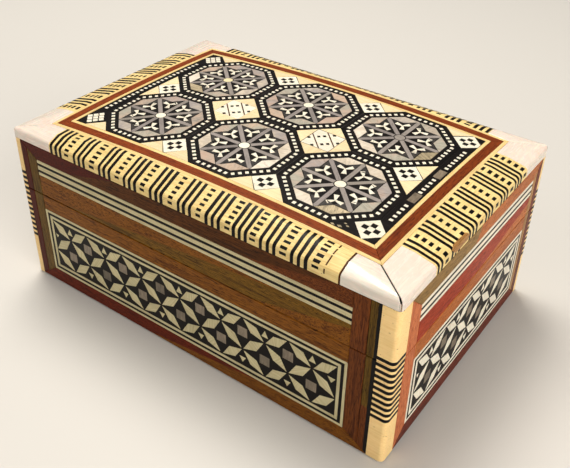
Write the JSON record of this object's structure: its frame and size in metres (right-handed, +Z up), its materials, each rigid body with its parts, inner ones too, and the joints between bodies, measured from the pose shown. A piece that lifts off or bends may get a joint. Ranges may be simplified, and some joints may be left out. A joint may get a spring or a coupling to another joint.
{
  "type": "inlaid wooden box",
  "caption": "Small hinged wooden box skinned with bone, shell and ebony marquetry: star mosaic panels, striped borders, pearl corners, crowned lid and velvet lining",
  "frame": {"origin": "centre of the felt face that the box rests on", "axes": "+X runs along the long side, +Z is up, and the long front side faces -Y with the hinges at +Y"},
  "size_m": [0.15, 0.1, 0.066],
  "materials": {
    "softwood": "plain sawn softwood, unfinished",
    "velvet": "dark red velvet over card",
    "felt": "thin green felt",
    "screw_brass": "small slotted brass screws",
    "hinge_brass": "plain brass, slightly dull",
    "bone": "polished camel bone with black stringing let in",
    "striped_bone": "cream bone laminated with ebony bars and squares, lacquered",
    "pearl": "polished white mother-of-pearl plate",
    "side_mosaic": "ebony ground set with cream bone lozenges and grey shell squares, lacquered",
    "top_mosaic": "ebony, bone, grey metal and shell pieces, lacquered",
    "mahogany": "red-brown mahogany, lacquered",
    "rosewood": "dark rosewood, lacquered",
    "walnut": "golden brown walnut, lacquered",
    "padauk": "orange-red padauk, lacquered"
  },
  "bodies": {
    "base": {"base_wall_front": "softwood", "base_wall_right": "softwood", "base_wall_back": "softwood", "base_wall_left": "softwood", "base_bottom_board": "softwood", "base_column_front_left": "bone", "base_column_front_right": "bone", "base_column_back_right": "bone", "base_column_back_left": "bone", "base_mosaic_front": "side_mosaic", "base_mosaic_right": "side_mosaic", "base_mosaic_back": "side_mosaic", "base_mosaic_left": "side_mosaic", "base_stringing_front": "bone", "base_stringing_right": "bone", "base_stringing_back": "bone", "base_stringing_left": "bone", "base_upper_strips_long": "walnut", "base_upper_strips_short": "padauk", "base_foot_strips": "mahogany", "base_end_strips": "rosewood", "base_wall_linings": "velvet", "base_floor_pad": "velvet", "underside_felt": "felt", "hinge_lower_leaves": "hinge_brass", "hinge_pins": "hinge_brass", "hinge_screws_base": "screw_brass"},
    "lid": {"lid_wall_front": "softwood", "lid_wall_right": "softwood", "lid_wall_back": "softwood", "lid_wall_left": "softwood", "lid_top_board": "softwood", "lid_column_front_left": "bone", "lid_column_front_right": "bone", "lid_column_back_right": "bone", "lid_column_back_left": "bone", "lid_stringing_front": "bone", "lid_stringing_right": "bone", "lid_stringing_back": "bone", "lid_stringing_left": "bone", "lid_upper_strips": "mahogany", "lid_lower_strips_long": "walnut", "lid_lower_strips_short": "padauk", "lid_end_strips": "rosewood", "border_band_front": "striped_bone", "border_band_right": "striped_bone", "border_band_back": "striped_bone", "border_band_left": "striped_bone", "pearl_corner_front_left": "pearl", "pearl_corner_front_right": "pearl", "pearl_corner_back_right": "pearl", "pearl_corner_back_left": "pearl", "outer_cream_frame": "bone", "mahogany_frame": "mahogany", "inner_cream_frame": "bone", "top_mosaic": "top_mosaic", "lid_linings": "velvet", "hinge_upper_leaves": "hinge_brass", "hinge_screws_lid": "screw_brass"}
  },
  "joints": [
    {"name": "lid_hinge", "type": "hinge", "parent": "base", "child": "lid", "pos_m": [0, 0.0488, 0.0384], "axis": [-1, 0, 0], "range_deg": [0, 100]}
  ]
}
